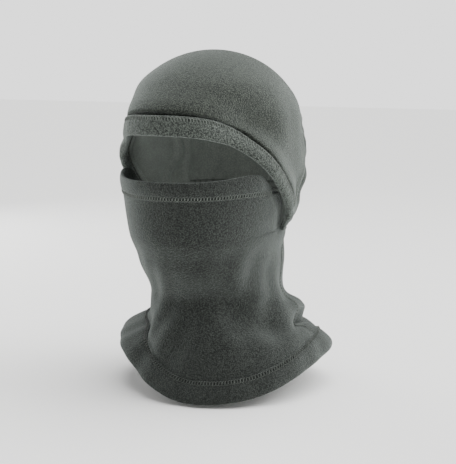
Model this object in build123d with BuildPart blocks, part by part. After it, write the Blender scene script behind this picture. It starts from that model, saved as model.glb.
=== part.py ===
from build123d import *
import os
from math import cos, hypot, radians, sin

# Hinged fleece balaclava, as it stands on a head.
# The origin is the middle of the head, +Z is up, -Y is the front of the face and +X is the
# wearer's left. Every piece of fabric lies between two offsets of one head form, so a layer
# keeps its thickness and its distance from the layer under it all the way round.

# ---------------------------------------------------------------- head form, inside of the fabric
head_width = 157.0
head_length = 202.0
jaw_width = 136.0
jaw_length = 172.0
neck_width = 120.0
neck_length = 145.0
shoulder_width = 196.0
shoulder_length = 176.0
hem_width = 224.0
hem_length = 202.0

crown_height = 77.0       # rise of the dome above the brow
brow_level = 17.0         # where the dome starts
ear_level = -20.0
cheek_level = -45.0
nape_level = -75.0        # the seam between the hood and the neck
chin_level = -105.0
neck_level = -135.0
collar_level = -150.0
slope_level = -165.0      # halfway down the flare over the shoulders
shoulder_level = -180.0
hem_level = -215.0
form_bottom = -250.0      # the form goes on below the hem, so that the hem cuts it cleanly

# ---------------------------------------------------------------- fabric layers
fleece = 2.4              # one layer of fleece
layer_gap = 0.5           # air between layers that move on each other
seam_gap = 0.2            # between pieces that are sewn edge to edge
folded_fleece = 3.2       # a pressed double layer, in the nose hem
bottom_fold = 4.8         # the soft double layer of the bottom hem
thread_thickness = 0.7
thread_gap = 0.1          # between a row of stitches and the fabric under it
stitch_width = 3.0        # a row of cover stitching
stitch_inset = 1.0        # from a seam or an edge to its row of stitches

# ---------------------------------------------------------------- brow band
band_front_height = 19.0  # across the brow
band_side_height = 12.0   # from the temple to the nape seam
band_wall = 1.9           # one wall of the folded band
band_pocket = 1.2         # room between the two walls
band_clearance = 1.0      # from the mask's outside to the inside of the band
band_fold = 3.0           # fabric left below the pocket, at the fold
elastic_thickness = 1.0
elastic_front_height = 10.0
hood_lap = 5.0            # how far the hood goes under the band
mask_lap = 3.0            # how far the mask's side edges go under the band
band_stitch_inset = 1.5   # from the band's upper edge to its stitches

# Centre line of the band in side view (Y, Z), from in front of the brow back to the nape seam.
# The third value is 1 where the band has its front height and 0 where it has its side height.
band_line = [
    (-135.0, 30.0, 1.0),
    (-100.0, 30.0, 1.0),
    (-72.0, 21.0, 0.9),
    (-43.0, 1.0, 0.3),
    (-12.0, -30.0, 0.0),
    (3.0, -48.0, 0.0),
    (9.0, nape_level + 13.0, 0.0),
    (14.0, nape_level - 11.0, 0.0),
]

# ---------------------------------------------------------------- mask and neck
mask_top = -20.0          # upper edge of the nose hem
nose_hem_height = 18.0
mask_bottom = -82.0       # where the mask stops swinging with the nose hem
mask_overlap = 2.0        # how far the mask hangs over the neck's front panel
side_seam_y = 30.0        # plane of the two side seams
bottom_hem_height = 21.0

# Lower edge of the bottom hem in front view (X, Z), from the wearer's right shoulder to the left
# one. It is drawn up a little on the right, so that the bib hangs lowest left of the middle.
hem_line = [
    (-hem_width / 2, -184.0),
    (-65.0, -199.0),
    (-20.0, -221.0),
    (30.0, -231.0),
    (75.0, -226.0),
    (hem_width / 2, -204.0),
]

# ---------------------------------------------------------------- small pieces
back_elastic_height = 8.0
back_elastic_bottom = -46.0
back_elastic_front = 62.0  # it starts behind the back seams
label_width = 28.0
label_height = 34.0
label_thickness = 0.5
label_gap = 0.3
bartack_length = 8.0
bartack_width = 2.4

# Line of the two back seams in side view (Y, Z), from the crown down to the nape seam's stitches.
back_seam_line = [
    (37.0, 85.0),
    (50.0, 68.0),
    (60.0, 40.0),
    (64.0, 5.0),
    (62.0, -30.0),
    (50.0, nape_level + stitch_inset + stitch_width + seam_gap),
]

# ---------------------------------------------------------------- construction
# Rings of the dome, in degrees above its rim
dome_tilts = (82.0, 70.0, 56.0, 42.0, 28.0, 14.0)
ring_spacing = 12.0       # between the rings below the rim that the form is lofted through
half_span = 170.0         # cutting prisms reach this far past the form on each side

# ---------------------------------------------------------------- offsets from the head form
neck_inside = 0.0
neck_outside = neck_inside + fleece
mask_inside = neck_outside + layer_gap
mask_outside = mask_inside + fleece
nose_hem_outside = mask_inside + folded_fleece
hood_inside = mask_inside
hood_outside = hood_inside + fleece
band_inside = nose_hem_outside + thread_gap + thread_thickness + band_clearance
pocket_inside = band_inside + band_wall
pocket_outside = pocket_inside + band_pocket
band_outside = pocket_outside + band_wall
hem_inside = neck_inside - (bottom_fold - fleece) / 2
hem_outside = hem_inside + bottom_fold

# Stations of the form: level, width, length and how far its middle lies behind the origin.
stations = [
    (brow_level, head_width - 1.0, head_length - 1.5, 3.5),
    (0.0, head_width, head_length, 3.0),
    (ear_level, head_width - 1.5, head_length - 0.5, 2.0),
    (cheek_level, head_width - 7.0, head_length - 10.0, 0.5),
    (nape_level, jaw_width, jaw_length, -6.0),
    (chin_level, neck_width + 6.0, jaw_length - 10.0, -1.0),
    (neck_level, neck_width, neck_length, 8.5),
    (collar_level, neck_width + 6.0, neck_length + 3.0, 10.0),
    (slope_level, (neck_width + shoulder_width) / 2 - 4.0, (neck_length + shoulder_length) / 2, 11.5),
    (shoulder_level, shoulder_width, shoulder_length, 13.0),
    (hem_level, hem_width, hem_length, 14.0),
    (form_bottom, hem_width + 12.0, hem_length + 16.0, 12.0),
]


def form_size(level):
    """Width, length and middle of the form at a level: cubic curves through the stations, whose
    slope at a station is that from the one before it to the one after, and none at the rim."""
    index = 0
    while index < len(stations) - 2 and level < stations[index + 1][0]:
        index += 1
    upper, lower = stations[index], stations[index + 1]
    before = stations[max(index - 1, 0)]
    after = stations[min(index + 2, len(stations) - 1)]
    span = lower[0] - upper[0]
    part = (level - upper[0]) / span
    sizes = []
    for column in (1, 2, 3):
        start_slope = 0.0
        if index > 0:
            start_slope = (lower[column] - before[column]) / (lower[0] - before[0])
        end_slope = (after[column] - upper[column]) / (after[0] - upper[0])
        sizes.append((2 * part**3 - 3 * part**2 + 1) * upper[column]
                     + (part**3 - 2 * part**2 + part) * span * start_slope
                     + (3 * part**2 - 2 * part**3) * lower[column]
                     + (part**3 - part**2) * span * end_slope)
    return sizes


def head_form(offset):
    """The head, neck and shoulders that the fabric lies on, grown outwards by offset."""
    rim_width, rim_length, rim_centre = form_size(brow_level)
    rise = crown_height + offset
    rings = []
    for tilt in dome_tilts:
        share = cos(radians(tilt))
        rings.append((brow_level + rise * sin(radians(tilt)), share * (rim_width / 2 + offset),
                      share * (rim_length / 2 + offset), rim_centre))
    ring_count = round((brow_level - form_bottom) / ring_spacing)
    for step in range(ring_count + 1):
        level = brow_level - step * (brow_level - form_bottom) / ring_count
        width, length, centre = form_size(level)
        rings.append((level, width / 2 + offset, length / 2 + offset, centre))
    outlines = [Vertex(0.0, rim_centre, brow_level + rise)]
    for level, half_width, half_length, centre in rings:
        with BuildSketch(Plane.XY.offset(level)) as outline:
            with Locations((0.0, centre)):
                Ellipse(half_width, half_length)
        outlines.append(outline.sketch)
    with BuildPart() as form:
        loft(sections=outlines)
    return form.part


def layer(inside, outside, *regions, less=()):
    """A layer of fabric between two offsets of the form, within every region and outside of
    the ones in less."""
    with BuildPart() as fabric:
        add(head_form(outside))
        for region in regions:
            add(region, mode=Mode.INTERSECT)
        for region in less:
            add(region, mode=Mode.SUBTRACT)
        add(head_form(inside), mode=Mode.SUBTRACT)
    return fabric.part


def band_edge(side, shift=0.0):
    """Points along one edge of the band in side view: side is 1 for the upper edge and -1 for
    the lower one, and shift moves the edge outwards from the band."""
    points = []
    for index, (y, z, fullness) in enumerate(band_line):
        before = band_line[max(index - 1, 0)]
        after = band_line[min(index + 1, len(band_line) - 1)]
        along_y, along_z = after[0] - before[0], after[1] - before[1]
        length = hypot(along_y, along_z)
        height = band_side_height + fullness * (band_front_height - band_side_height)
        reach = side * (height / 2 + shift)
        points.append((y - reach * along_z / length, z + reach * along_y / length))
    return points


def side_strip(upper, lower):
    """A prism across the form, between two smooth curves in side view that run front to back."""
    with BuildPart() as strip:
        with BuildSketch(Plane.YZ):
            with BuildLine():
                Spline(*upper)
                Line(upper[-1], lower[-1])
                Spline(*lower)
                Line(lower[0], upper[0])
            make_face()
        extrude(amount=half_span, both=True)
    return strip.part


def above_edge(edge):
    """A prism of everything above and behind a curve in side view that runs front to back."""
    with BuildPart() as prism:
        with BuildSketch(Plane.YZ):
            with BuildLine():
                Spline(*edge)
                Polyline(edge[-1], (half_span, edge[-1][1]), (half_span, half_span),
                         (edge[0][0], half_span), edge[0])
            make_face()
        extrude(amount=half_span, both=True)
    return prism.part


def slab(y_low, y_high, z_low, z_high, x_half=half_span):
    """A block that is centred on the middle plane of the head."""
    with BuildPart() as block:
        with Locations((0.0, (y_low + y_high) / 2, (z_low + z_high) / 2)):
            Box(2 * x_half, y_high - y_low, z_high - z_low)
    return block.part


def above_hem(rise, top):
    """A prism of everything over the bottom hem's lower edge raised by rise, up to top."""
    edge = [(x, z + rise) for x, z in hem_line]
    with BuildPart() as prism:
        with BuildSketch(Plane.XZ):
            with BuildLine():
                Spline(*edge)
                Polyline(edge[-1], (half_span, edge[-1][1]), (half_span, top), (-half_span, top),
                         (-half_span, edge[0][1]), edge[0])
            make_face()
        extrude(amount=half_span, both=True)
    return prism.part


def one_side(side):
    """A block of everything on the wearer's left (1) or right (-1)."""
    with BuildPart() as block:
        with Locations((side * half_span / 2, 0.0, 0.0)):
            Box(half_span, 2 * half_span, 4 * half_span)
    return block.part


def stitches(under, *regions, less=()):
    """A row of stitches, as a thin strip over fabric whose outside is at the offset under."""
    return layer(under + thread_gap, under + thread_gap + thread_thickness, *regions, less=less)


def save(piece, name):
    """Label a finished piece and write it to its own file."""
    piece.label = name
    export_step(piece, f"parts/{name}.step")


os.makedirs("parts", exist_ok=True)

neck_top = nape_level - seam_gap
nose_hem_bottom = mask_top - nose_hem_height
hem_top = bottom_hem_height + seam_gap
above_nape = slab(-half_span, half_span, nape_level, half_span)
mask_side = above_edge(band_edge(-1, -mask_lap))

# ---------------------------------------------------------------- hood, which folds back
with BuildPart() as hood_panel:
    add(layer(hood_inside, hood_outside, above_edge(band_edge(1, -hood_lap)), above_nape))
save(hood_panel.part, "hood_panel")

# The band is folded along its lower edge, round the opening, and the pocket is open above.
# Its seam allowance fills the space between the inner wall and the hood where they are sewn.
with BuildPart() as brow_band:
    add(layer(band_inside, band_outside, side_strip(band_edge(1), band_edge(-1)), above_nape))
    pocket_region = side_strip(band_edge(1, 1.0), band_edge(-1, -band_fold))
    add(layer(pocket_inside, pocket_outside, pocket_region), mode=Mode.SUBTRACT)
    lap_region = side_strip(band_edge(1), band_edge(1, -hood_lap))
    add(layer(hood_outside + seam_gap, band_inside + band_wall / 2, lap_region, above_nape))
save(brow_band.part, "brow_band")

with BuildPart() as brow_elastic:
    slack = (band_pocket - elastic_thickness) / 2
    inset = (band_front_height - elastic_front_height) / 2
    elastic_region = side_strip(band_edge(1, -inset), band_edge(-1, -inset))
    add(layer(pocket_inside + slack, pocket_outside - slack, elastic_region, above_nape))
save(brow_elastic.part, "brow_elastic")

with BuildPart() as brow_band_stitching:
    upper_row = band_edge(1, -band_stitch_inset)
    lower_row = band_edge(1, -band_stitch_inset - stitch_width)
    add(stitches(band_outside, side_strip(upper_row, lower_row), above_nape))
save(brow_band_stitching.part, "brow_band_stitching")

# The back elastic gathers the hood across the back of the head, from one back seam to the other.
with BuildPart() as back_elastic:
    elastic_outside = hood_inside - seam_gap
    elastic_region = slab(back_elastic_front, half_span, back_elastic_bottom,
                          back_elastic_bottom + back_elastic_height)
    add(layer(elastic_outside - elastic_thickness, elastic_outside, elastic_region))
save(back_elastic.part, "back_elastic")

# The two seams that shape the back of the hood, from the nape seam up to the crown.
for side, name in ((1, "back_seam_left"), (-1, "back_seam_right")):
    with BuildPart() as back_seam:
        front_row = [(y - stitch_width / 2, z) for y, z in back_seam_line]
        back_row = [(y + stitch_width / 2, z) for y, z in back_seam_line]
        add(stitches(hood_outside, side_strip(front_row, back_row), one_side(side)))
    save(back_seam.part, name)

with BuildPart() as nape_seam_stitching:
    nape_row = slab(-half_span, half_span, nape_level + stitch_inset,
                    nape_level + stitch_inset + stitch_width)
    add(stitches(hood_outside, nape_row, above_edge(band_edge(1, 1.0))))
save(nape_seam_stitching.part, "nape_seam_stitching")

# One bartack on each side locks the band's end to the nape seam.
with BuildPart() as band_bartacks:
    tack_front = band_edge(-1)[-2][0] + 1.5
    tack_region = slab(tack_front, tack_front + bartack_length, nape_level + stitch_inset,
                       nape_level + stitch_inset + bartack_width)
    add(stitches(band_outside, tack_region))
save(band_bartacks.part, "band_bartacks")

# ---------------------------------------------------------------- mask, which pulls down
with BuildPart() as mask_panel:
    mask_region = slab(-half_span, side_seam_y, mask_bottom - mask_overlap, nose_hem_bottom - seam_gap)
    add(layer(mask_inside, mask_outside, mask_region, less=[mask_side]))
save(mask_panel.part, "mask_panel")

with BuildPart() as nose_hem:
    hem_region = slab(-half_span, side_seam_y, nose_hem_bottom, mask_top)
    add(layer(mask_inside, nose_hem_outside, hem_region, less=[mask_side]))
save(nose_hem.part, "nose_hem")

with BuildPart() as nose_hem_stitching:
    nose_row = slab(-half_span, side_seam_y, nose_hem_bottom + stitch_inset,
                    nose_hem_bottom + stitch_inset + stitch_width)
    add(stitches(nose_hem_outside, nose_row, less=[mask_side]))
save(nose_hem_stitching.part, "nose_hem_stitching")

# ---------------------------------------------------------------- neck
panel_region = above_hem(hem_top, neck_top)

with BuildPart() as front_panel:
    front_half = slab(-half_span, side_seam_y - seam_gap / 2, form_bottom, neck_top)
    add(layer(neck_inside, neck_outside, panel_region, front_half))
save(front_panel.part, "front_panel")

with BuildPart() as back_panel:
    back_half = slab(side_seam_y + seam_gap / 2, half_span, form_bottom, neck_top)
    add(layer(neck_inside, neck_outside, panel_region, back_half))
save(back_panel.part, "back_panel")

with BuildPart() as bottom_hem:
    over_hem = above_hem(bottom_hem_height, neck_top + 1.0)
    add(layer(hem_inside, hem_outside, above_hem(0.0, neck_top), less=[over_hem]))
save(bottom_hem.part, "bottom_hem")

with BuildPart() as bottom_hem_stitching:
    stitch_top = bottom_hem_height - stitch_inset
    hem_row = above_hem(stitch_top - stitch_width, neck_top)
    add(stitches(hem_outside, hem_row, less=[above_hem(stitch_top, neck_top + 1.0)]))
save(bottom_hem_stitching.part, "bottom_hem_stitching")

# The flatlock stitches of the side seams, one side at a time.
for side, name in ((1, "side_seam_left"), (-1, "side_seam_right")):
    with BuildPart() as side_seam:
        seam_row = slab(side_seam_y - stitch_width / 2, side_seam_y + stitch_width / 2,
                        form_bottom, neck_top)
        stitched = above_hem(hem_top + stitch_inset, neck_top - stitch_inset)
        add(stitches(neck_outside, stitched, seam_row, one_side(side)))
    save(side_seam.part, name)

with BuildPart() as care_label:
    label_outside = neck_inside - label_gap
    label_region = slab(0.0, half_span, neck_top - label_height, neck_top, label_width / 2)
    add(layer(label_outside - label_thickness, label_outside, label_region))
save(care_label.part, "care_label")
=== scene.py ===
from math import radians

import bpy
import numpy as np
from bpy.props import FloatProperty, PointerProperty, StringProperty
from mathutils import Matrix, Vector


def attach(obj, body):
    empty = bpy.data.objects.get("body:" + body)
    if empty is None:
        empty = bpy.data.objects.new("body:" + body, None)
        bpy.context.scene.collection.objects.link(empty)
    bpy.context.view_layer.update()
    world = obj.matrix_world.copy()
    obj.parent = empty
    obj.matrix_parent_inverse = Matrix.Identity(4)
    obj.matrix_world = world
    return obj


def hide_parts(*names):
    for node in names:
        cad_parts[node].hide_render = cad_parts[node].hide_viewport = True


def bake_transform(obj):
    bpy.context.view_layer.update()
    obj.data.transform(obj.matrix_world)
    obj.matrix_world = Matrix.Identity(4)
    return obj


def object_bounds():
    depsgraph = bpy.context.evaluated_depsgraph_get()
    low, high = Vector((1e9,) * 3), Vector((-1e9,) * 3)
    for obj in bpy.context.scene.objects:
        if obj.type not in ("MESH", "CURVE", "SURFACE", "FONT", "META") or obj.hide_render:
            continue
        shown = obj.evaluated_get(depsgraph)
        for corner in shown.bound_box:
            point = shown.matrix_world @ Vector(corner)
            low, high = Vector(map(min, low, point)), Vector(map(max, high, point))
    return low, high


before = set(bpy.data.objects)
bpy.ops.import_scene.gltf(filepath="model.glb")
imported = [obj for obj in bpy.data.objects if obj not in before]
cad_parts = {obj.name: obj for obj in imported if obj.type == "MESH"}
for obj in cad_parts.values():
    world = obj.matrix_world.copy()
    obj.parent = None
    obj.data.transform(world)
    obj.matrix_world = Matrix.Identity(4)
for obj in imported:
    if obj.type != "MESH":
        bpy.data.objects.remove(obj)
CAD_BOX = [[float(value) for value in corner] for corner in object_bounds()]

bl_info = {
    "name": "Hinged fleece balaclava",
    "version": (1, 0, 0),
    "blender": (4, 5, 0),
    "location": "View3D > Sidebar > Balaclava",
    "description": "Builds the fabric, seams and stage of a hinged fleece balaclava",
    "category": "Add Mesh",
}

# Shapes are worked out in millimetres and put into the meshes in metres.
MM = 0.001

# ---------------------------------------------------------------- the head form
# Level, width, length of the form, and how far its middle lies behind the origin.
STATIONS = np.array([
    (-250.0, 236.0, 218.0, 12.0),
    (-215.0, 224.0, 202.0, 14.0),
    (-180.0, 196.0, 176.0, 13.0),
    (-165.0, 154.0, 160.5, 11.5),
    (-150.0, 126.0, 148.0, 10.0),
    (-135.0, 120.0, 145.0, 8.5),
    (-105.0, 126.0, 162.0, -1.0),
    (-75.0, 136.0, 172.0, -6.0),
    (-45.0, 150.0, 192.0, 0.5),
    (-20.0, 155.5, 201.5, 2.0),
    (0.0, 157.0, 202.0, 3.0),
    (17.0, 156.0, 200.5, 3.5),
])
RIM = 17.0                # the level where the dome of the crown starts
DOME_RISE = 77.0
DOME_ARC = 135.0          # length of the dome's side, from its rim to its top
NECK_LEVEL = -140.0       # the fabric is narrowest here
NAPE_LEVEL = -75.0        # the seam between the hood and the neck
NAPE_CLIMB = NAPE_LEVEL - RIM
NOSE_HEM_TOP = -20.0
SIDE_SEAM_Y = 30.0
BACK_ELASTIC_LEVEL = -42.0
BAND_ENDS = (97.0, 103.0)  # turns between which the band's ends meet the nape seam
NAPE_DRAW = 2.4            # how far the nape seam draws the hood in
NOSE_SAG = 1.2             # how far the nose hem hangs down in front

SIDES = ((1, "left"), (-1, "right"))

# Offsets of the fabric from the form, outer side.
NECK_OUTER = 2.4
MASK_OUTER = 5.3
HOOD_OUTER = 5.3
BAND_MIDDLE = 9.9
HEM_MIDDLE = 1.2

# The brow band's centre line in side view (Y, Z), and 1 where it has its front height.
BAND_LINE = np.array([
    (-135.0, 30.0, 1.0), (-100.0, 30.0, 1.0), (-72.0, 21.0, 0.9), (-43.0, 1.0, 0.3),
    (-12.0, -30.0, 0.0), (3.0, -48.0, 0.0), (9.0, -62.0, 0.0), (14.0, -86.0, 0.0),
])
# The back seams in side view (Y, Z), from the crown down to the nape seam.
BACK_SEAM_LINE = np.array([
    (37.0, 85.0), (50.0, 68.0), (60.0, 40.0), (64.0, 5.0), (62.0, -30.0), (50.0, -71.0),
])
# The crease that the back elastic draws behind each ear: turn, level, from the top down.
PUCKER = np.array([
    (112.0, 24.0), (117.0, 8.0), (119.0, -6.0), (116.0, -18.0), (111.0, -28.0), (109.0, -40.0),
    (111.0, -52.0), (113.0, -60.0),
])
# Lower edge of the bottom hem round the neck: turn in degrees, level.
HEM_LINE = np.array([
    (-165.0, -222.0), (-140.0, -209.0), (-115.0, -193.0), (-90.0, -187.0), (-57.0, -190.5),
    (-37.0, -198.0), (-23.0, -207.5), (-9.4, -219.0), (5.0, -228.0), (18.0, -230.5),
    (39.0, -226.5), (54.0, -219.5), (66.0, -212.5), (78.0, -206.5), (96.0, -201.0),
    (118.0, -200.5), (140.0, -211.0), (160.0, -221.0),
])
# How much of the flare over the shoulders the fabric takes high on it: turn, share.
FLARE = np.array([
    (-150.0, 1.0), (-120.0, 0.58), (-95.0, 0.50), (-76.0, 0.44), (-66.0, 0.30), (-58.0, 0.12),
    (-50.0, 0.0), (-40.0, 0.10), (-28.0, 0.38), (-10.0, 0.66), (10.0, 0.84), (30.0, 0.97),
    (60.0, 1.0), (90.0, 1.0), (120.0, 1.0), (150.0, 1.0),
])
# The roll of slack fabric on the left of the neck: turn, level of its crest, how far it stands out.
ROLL = np.array([
    (18.0, -110.0, 0.0), (36.0, -118.0, 1.2), (52.0, -127.0, 3.2), (70.0, -136.0, 6.0),
    (88.0, -145.0, 8.5), (106.0, -153.0, 9.5), (120.0, -158.0, 10.0), (132.0, -160.0, 10.0),
    (144.0, -160.0, 6.0), (160.0, -160.0, 1.5), (180.0, -160.0, 0.0),
])
# The smaller roll behind the right shoulder, by the turn to that side.
SMALL_ROLL = np.array([
    (66.0, -136.0, 0.0), (84.0, -142.0, 1.5), (104.0, -151.0, 3.6), (124.0, -156.0, 4.4),
    (144.0, -158.0, 3.2), (162.0, -158.0, 1.0), (180.0, -158.0, 0.0),
])
# Ridges and hollows down the chest and over the shoulders: how far each stands out, its turn and
# half width in degrees, and its level and half height.
NECK_HILLS = (
    (2.6, 33.0, 8.0, -172.0, 24.0), (-3.0, 47.0, 11.0, -143.0, 14.0),
    (-2.0, 62.0, 10.0, -166.0, 9.0), (2.2, 90.0, 9.0, -170.0, 7.0),
    (-2.0, 101.0, 5.0, -174.0, 7.0), (2.6, 112.0, 8.0, -179.0, 8.0),
    (2.0, -30.0, 9.0, -165.0, 26.0), (2.4, 165.0, 12.0, -188.0, 18.0),
    (2.4, -150.0, 12.0, -185.0, 18.0),
)


def curve(x, knots, values, period=None):
    """A smooth curve through the knots: cubic pieces whose slope at a knot is that from the knot
    before it to the knot after it. With a period the curve closes on itself."""
    x, knots, values = np.asarray(x, float), np.asarray(knots, float), np.asarray(values, float)
    if period:
        x = (x - knots[0]) % period + knots[0]
        knots = np.concatenate([knots[-2:] - period, knots, knots[:2] + period])
        values = np.concatenate([values[-2:], values, values[:2]])
    slopes = np.gradient(values)
    slopes[1:-1] = (values[2:] - values[:-2]) / (knots[2:] - knots[:-2])
    slopes[[0, -1]] = 0.0
    index = np.clip(np.searchsorted(knots, x, side="right") - 1, 0, len(knots) - 2)
    span = knots[index + 1] - knots[index]
    part = np.clip((x - knots[index]) / span, 0.0, 1.0)
    return ((2 * part**3 - 3 * part**2 + 1) * values[index]
            + (part**3 - 2 * part**2 + part) * span * slopes[index]
            + (3 * part**2 - 2 * part**3) * values[index + 1]
            + (part**3 - part**2) * span * slopes[index + 1])


def hill(x, centre, width):
    """A smooth hill of height 1 at centre, which falls away over width."""
    return np.exp(-((x - centre) / width) ** 2)


def ramp(x, low, high):
    """0 below low, 1 above high, and a smooth step between them."""
    part = np.clip((x - low) / (high - low), 0.0, 1.0)
    return part * part * (3 - 2 * part)


def unit(vectors):
    """The same directions with length 1."""
    return vectors / np.maximum(np.linalg.norm(vectors, axis=-1, keepdims=True), 1e-9)


def ripple(turn, climb, seed, longest, count=5):
    """Gentle unevenness between about -1 and 1: a few crossing waves over the form, in mm, with
    lengths from longest down to a third of it and directions drawn from the seed."""
    draw = np.random.default_rng(seed)
    around = np.radians(turn) * 80.0
    total = 0.0
    for wave in range(count):
        length = longest / (1.0 + 2.0 * wave / count)
        heading, phase = draw.uniform(0, np.pi), draw.uniform(0, 2 * np.pi)
        travel = around * np.cos(heading) + climb * np.sin(heading)
        total = total + np.sin(travel * 2 * np.pi / length + phase) / np.sqrt(count)
    return total


def hem_tip(turn, level):
    """How far the hem and the fabric over it stand out behind the left shoulder."""
    return 8.0 * hill(turn, 116.0, 17.0) * hill(level - hem_edge(turn), 3.0, 12.5)


def above_hem(turn, extra):
    """Climb at each turn of a line that runs extra above the bottom hem's upper edge."""
    return hem_edge(turn) + size("bottom_hem") + extra - RIM


def hem_edge(turn):
    """Level of the bottom hem's lower edge."""
    return curve(turn, HEM_LINE[:, 0], HEM_LINE[:, 1], 360.0)


def form_point(turn, climb, offset):
    """A point on the form grown outwards by offset, in mm. turn goes round from the front
    towards the wearer's left, in degrees. climb is the height over the rim, and above the rim
    the way up the dome. Each level is an ellipse, and the dome is half an ellipsoid. Over the
    shoulders the ellipse lies between the neck's and the form's, by the flare's share."""
    turn, climb, offset = np.broadcast_arrays(
        np.asarray(turn, float), np.asarray(climb, float), np.asarray(offset, float))
    level, tilt = level_and_tilt(climb)
    share = curve(turn, FLARE[:, 0], FLARE[:, 1], 360.0)
    share = share + (1.0 - share) * ramp(hem_edge(turn) + 26.0 - level, 0.0, 26.0)
    share = np.where(level < NECK_LEVEL, share, 1.0)
    sizes = []
    for column in (1, 2, 3):
        neck = station(NECK_LEVEL, column)
        sizes.append(neck + share * (station(level, column) - neck))
    width, depth, middle = sizes
    angle = np.radians(turn)
    offset = offset + temple_and_crown(turn, climb)
    return np.stack([
        (width / 2 + offset) * np.cos(tilt) * np.sin(angle),
        middle - (depth / 2 + offset) * np.cos(tilt) * np.cos(angle),
        level + (DOME_RISE + offset) * np.sin(tilt),
    ], axis=-1)


def form_frame(turn, climb, offset=0.0):
    """Directions of length 1 at points of the form: round it, up it and out of it, from the
    differences of points half a step to either side."""
    around = unit(form_point(turn + 0.5, climb, offset) - form_point(turn - 0.5, climb, offset))
    up = unit(form_point(turn, climb + 0.5, offset) - form_point(turn, climb - 0.5, offset))
    return around, up, unit(np.cross(around, up))


def station(level, column):
    """Width (1), length (2) or middle (3) of the form at each level."""
    return curve(level, STATIONS[:, 0], STATIONS[:, column])


def level_and_tilt(climb):
    """Level of each climb up to the rim, and beyond it how far the dome leans in, in radians."""
    return (np.minimum(climb, 0.0) + RIM,
            np.clip(climb, 0.0, DOME_ARC) / DOME_ARC * (np.pi / 2))


def temple_and_crown(turn, climb):
    """How far the stretched fabric leaves the plain form: in over the temples, out over the
    shoulders of the crown."""
    side = np.abs(turn)
    return (-14.0 * hill(side, 55.0, 24.0) * hill(climb, 12.0, 25.0)
            + 1.6 * hill(side, 62.0, 40.0) * hill(climb, 54.0, 16.0)
            + 3.2 * hill(side, 127.0, 22.0) * hill(climb, -34.0, 34.0)
            + 3.4 * hill(side, 127.0, 20.0) * hill(climb, -72.0, 18.0))


# ---------------------------------------------------------------- how the fabric lies
def seam_turn(line, climb, offset=HOOD_OUTER):
    """Turn at which a line in side view (Y, Z) crosses each climb, on the left of the form."""
    level, tilt = level_and_tilt(climb)
    height = level + (DOME_RISE + offset) * np.sin(tilt)
    y = curve(-height, -line[:, 1], line[:, 0])
    half = (station(level, 2) / 2 + offset) * np.cos(tilt)
    middle = station(level, 3)
    return np.degrees(np.arccos(np.clip((middle - y) / half, -1.0, 1.0)))


def side_seam_turn(climb):
    """Turn at which the side seams cross each climb."""
    line = np.array([(SIDE_SEAM_Y, -70.0), (SIDE_SEAM_Y, -150.0), (SIDE_SEAM_Y, -240.0)])
    return seam_turn(line, climb, NECK_OUTER)


def roll_push(turn, level, table):
    """Push and drop of one roll of slack fabric. Its crest follows the table round the neck, and
    it falls away gently above the crest and steeply below it, where a crease is drawn in."""
    crest = curve(turn, table[:, 0], table[:, 1])
    height = curve(turn, table[:, 0], table[:, 2])
    reach = level - crest
    rise = 17.0 - 6.0 * ramp(turn, 90.0, 118.0)
    fall = 10.0 + 15.0 * ramp(-turn, -112.0, -74.0)
    shape = np.where(reach > 0, hill(reach, 0.0, rise), np.exp(-(reach / fall) ** 4))
    crease = hill(reach, -1.25 * fall, 3.6) * ramp(turn, 66.0, 104.0)
    depth = 0.36 + 0.55 * hill(turn, 103.0, 15.0)
    return height * (shape - depth * crease), -0.42 * height * shape


def neck_folds(turn, level):
    """Push and lift of the neck's fabric, in mm: the rolls on both sides, the ridges and hollows
    down the chest, and slow unevenness, all fading out towards the bottom hem."""
    push, lift = roll_push(turn, level, ROLL)
    right_push, right_lift = roll_push(-turn, level, SMALL_ROLL)
    push, lift = push + right_push, lift + right_lift
    for height, middle, width, middle_level, reach in NECK_HILLS:
        push = push + height * hill(turn, middle, width) * hill(level, middle_level, reach)
    push = push - 2.0 * hill(np.abs(turn), 180.0, 9.0) * hill(level, -192.0, 18.0)
    push = push + 3.5 * hill(np.abs(turn), 128.0, 20.0) * hill(level, -112.0, 26.0)
    push = push + 0.9 * ripple(turn, level, 4, 70.0) * ramp(-level, 70.0, 120.0)
    free = ramp(level - hem_edge(turn), 14.0, 34.0)
    return push * free + hem_tip(turn, level), lift * free


def hood_folds(turn, climb):
    """Push of the hood's fabric, in mm: puckers along the back seams, the gathers of the back
    elastic, and slow unevenness on the back."""
    level = climb + RIM
    side = np.abs(turn)
    away = side - seam_turn(BACK_SEAM_LINE, climb)
    on_seam = ramp(-climb, -75.0, -55.0)
    push = -1.5 * on_seam * hill(away, 0.0, 2.2)
    puckers = np.sin(climb * 0.37 + 2.6 * np.sin(climb * 0.083)) * hill(away, 0.0, 7.0)
    push = push + 0.5 * on_seam * puckers * (0.6 + 0.4 * np.sin(climb * 0.061 + 1.0))
    pulled = hill(level, -12.0, 8.0) + hill(level, 24.0, 6.0)
    push = push - 2.6 * on_seam * hill(away, -3.0, 8.0) * pulled
    crease = side - curve(-level, -PUCKER[:, 1], PUCKER[:, 0])
    drawn = ramp(level, -56.0, -44.0) * ramp(-level, -22.0, -12.0)
    push = push + drawn * (-2.6 * hill(crease, 0.0, 1.9) + 1.3 * hill(crease, -4.5, 3.0)
                           + 1.0 * hill(crease, 4.5, 3.0))
    back = ramp(side, 104.0, 122.0)
    gathers = np.sin(turn * 1.15 + 2.4 * np.sin(turn * 0.19))
    gathers = gathers * hill(level, BACK_ELASTIC_LEVEL, 15.0)
    push = push + back * (0.7 * gathers - 3.0 * hill(level, BACK_ELASTIC_LEVEL, 8.0)
                          + 1.6 * hill(level, -26.0, 9.0))
    push = push + back * 1.0 * hill(level, -60.0, 8.0)
    behind = ramp(side, 60.0, 110.0) * ramp(-climb, -90.0, -20.0)
    return push + 0.8 * ripple(turn, climb, 9, 80.0) * behind


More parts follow.
